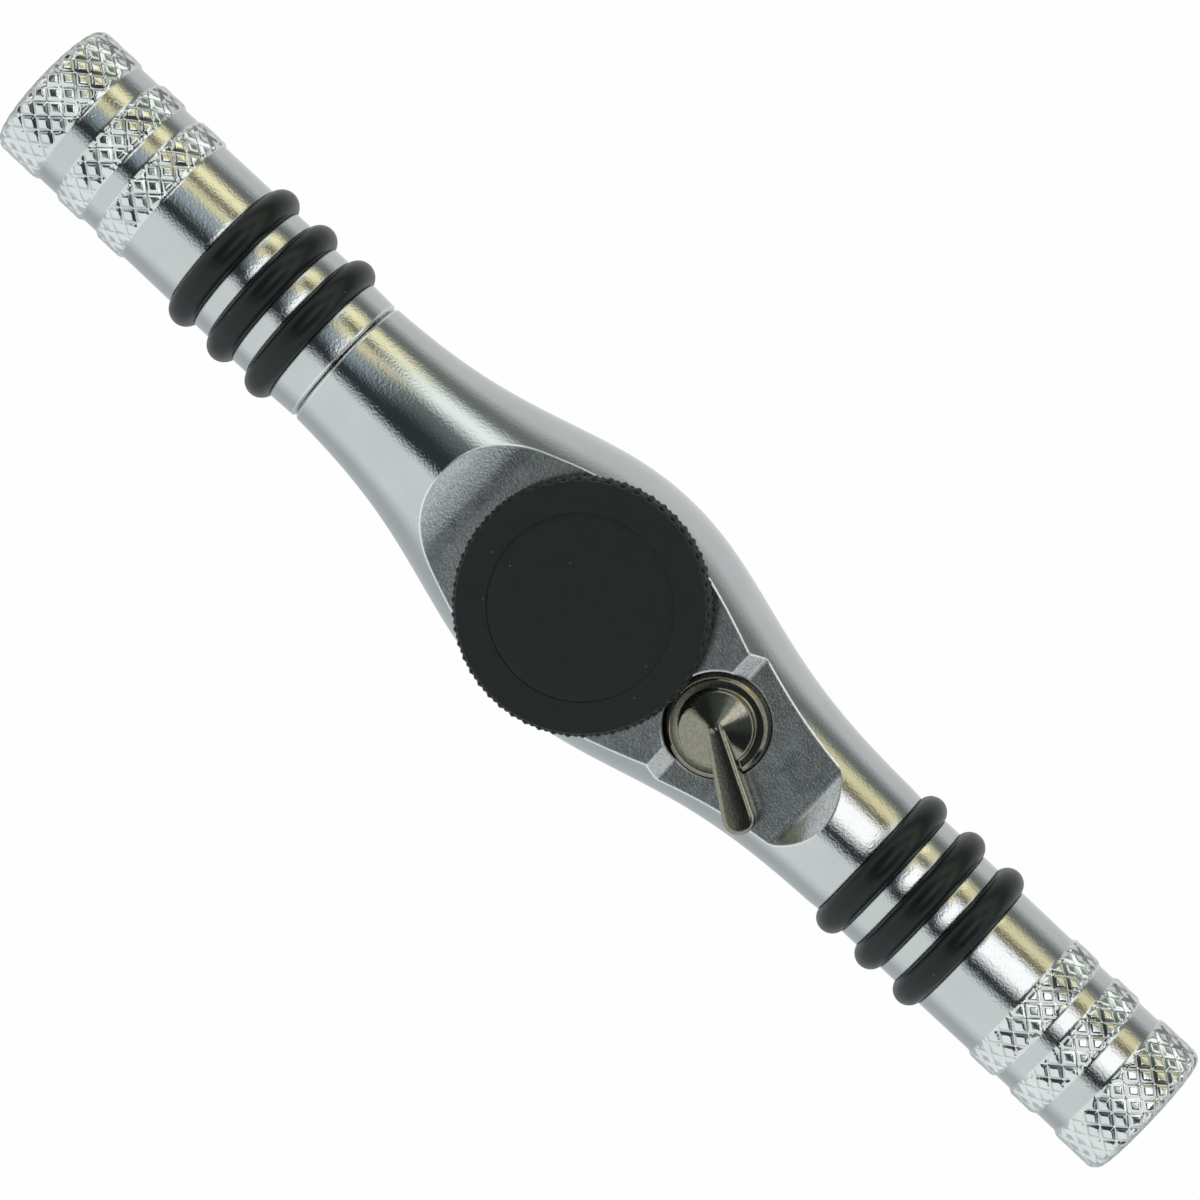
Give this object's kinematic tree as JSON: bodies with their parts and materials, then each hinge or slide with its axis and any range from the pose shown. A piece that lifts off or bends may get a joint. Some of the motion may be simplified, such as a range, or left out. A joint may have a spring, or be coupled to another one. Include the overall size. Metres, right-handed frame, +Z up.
{
  "type": "thumb wheel ratcheting driver",
  "caption": "Round two-armed handle with a knurled thumb wheel ratchet, reversing lever, rubber grip rings, a screw-off storage cap and a hexagon bit socket underneath.",
  "frame": {"origin": "where the thumb wheel's axis crosses the handle's axis, which is also the centre of the bounding box", "axes": "+X along the handle towards the solid arm and the reversing lever, +Y across the handle, +Z up through the thumb wheel, so the bit socket opens towards -Z"},
  "size_m": [0.14, 0.0252, 0.0202],
  "materials": {
    "chrome": "polished chrome plate with a fine orange-peel surface",
    "black_wheel": "fine matt black",
    "black_nickel": "polished black nickel",
    "black_rubber": "smooth black nitrile rubber",
    "ground_steel": "ground hardened steel, lightly oiled",
    "spring_steel": "bright spring steel",
    "magnet_nickel": "nickel-plated magnet"
  },
  "bodies": {
    "handle": {"handle_body": "chrome", "arm_grip_ring_inner": "black_rubber", "arm_grip_ring_middle": "black_rubber", "arm_grip_ring_outer": "black_rubber", "cover_plate": "chrome", "cover_screw_1": "ground_steel", "cover_screw_2": "ground_steel", "cover_screw_3": "ground_steel", "pawl_pin": "ground_steel"},
    "cap_rings": {"cap_grip_ring_inner": "black_rubber", "cap_grip_ring_middle": "black_rubber", "cap_grip_ring_outer": "black_rubber"},
    "cap": {"storage_cap": "chrome"},
    "drive": {"ratchet_spindle": "ground_steel", "thumb_wheel": "black_wheel", "wheel_insert": "black_wheel", "wheel_screw": "ground_steel", "wheel_washer": "spring_steel", "bit_magnet": "magnet_nickel"},
    "lever": {"reversing_lever": "black_nickel", "lever_clip": "spring_steel", "detent_spring": "spring_steel"},
    "plunger": {"detent_plunger": "ground_steel"},
    "pawl": {"pawl": "ground_steel"}
  },
  "joints": [
    {"name": "drive_spin", "type": "hinge", "parent": "handle", "child": "drive", "pos_m": [0, 0, 0], "axis": [0, 0, 1], "continuous": true},
    {"name": "lever_flip", "type": "hinge", "parent": "handle", "child": "lever", "pos_m": [0.0165, 0, 0], "axis": [0, 0, 1], "range_deg": [0, 64]},
    {"name": "pawl_rock", "type": "hinge", "parent": "handle", "child": "pawl", "pos_m": [0.0092, 0, 0], "axis": [0, 0, 1], "range_deg": [-16, 0]},
    {"name": "detent_press", "type": "slide", "parent": "lever", "child": "plunger", "axis": [0.848, -0.5299, 0], "range_m": [0, 0.0005], "deforming": ["detent_spring"]},
    {"name": "cap_travel", "type": "slide", "parent": "handle", "child": "cap_rings", "axis": [-1, 0, 0], "range_m": [0, 0.0075]},
    {"name": "cap_turn", "type": "hinge", "parent": "cap_rings", "child": "cap", "pos_m": [0, 0, 0], "axis": [-1, 0, 0], "range_deg": [0, 2702]}
  ],
  "couplings": [
    {"joint": "pawl_rock", "follows": "lever_flip", "ratio": -0.25},
    {"joint": "cap_turn", "follows": "cap_travel", "rad_per_m": 6283.2}
  ]
}
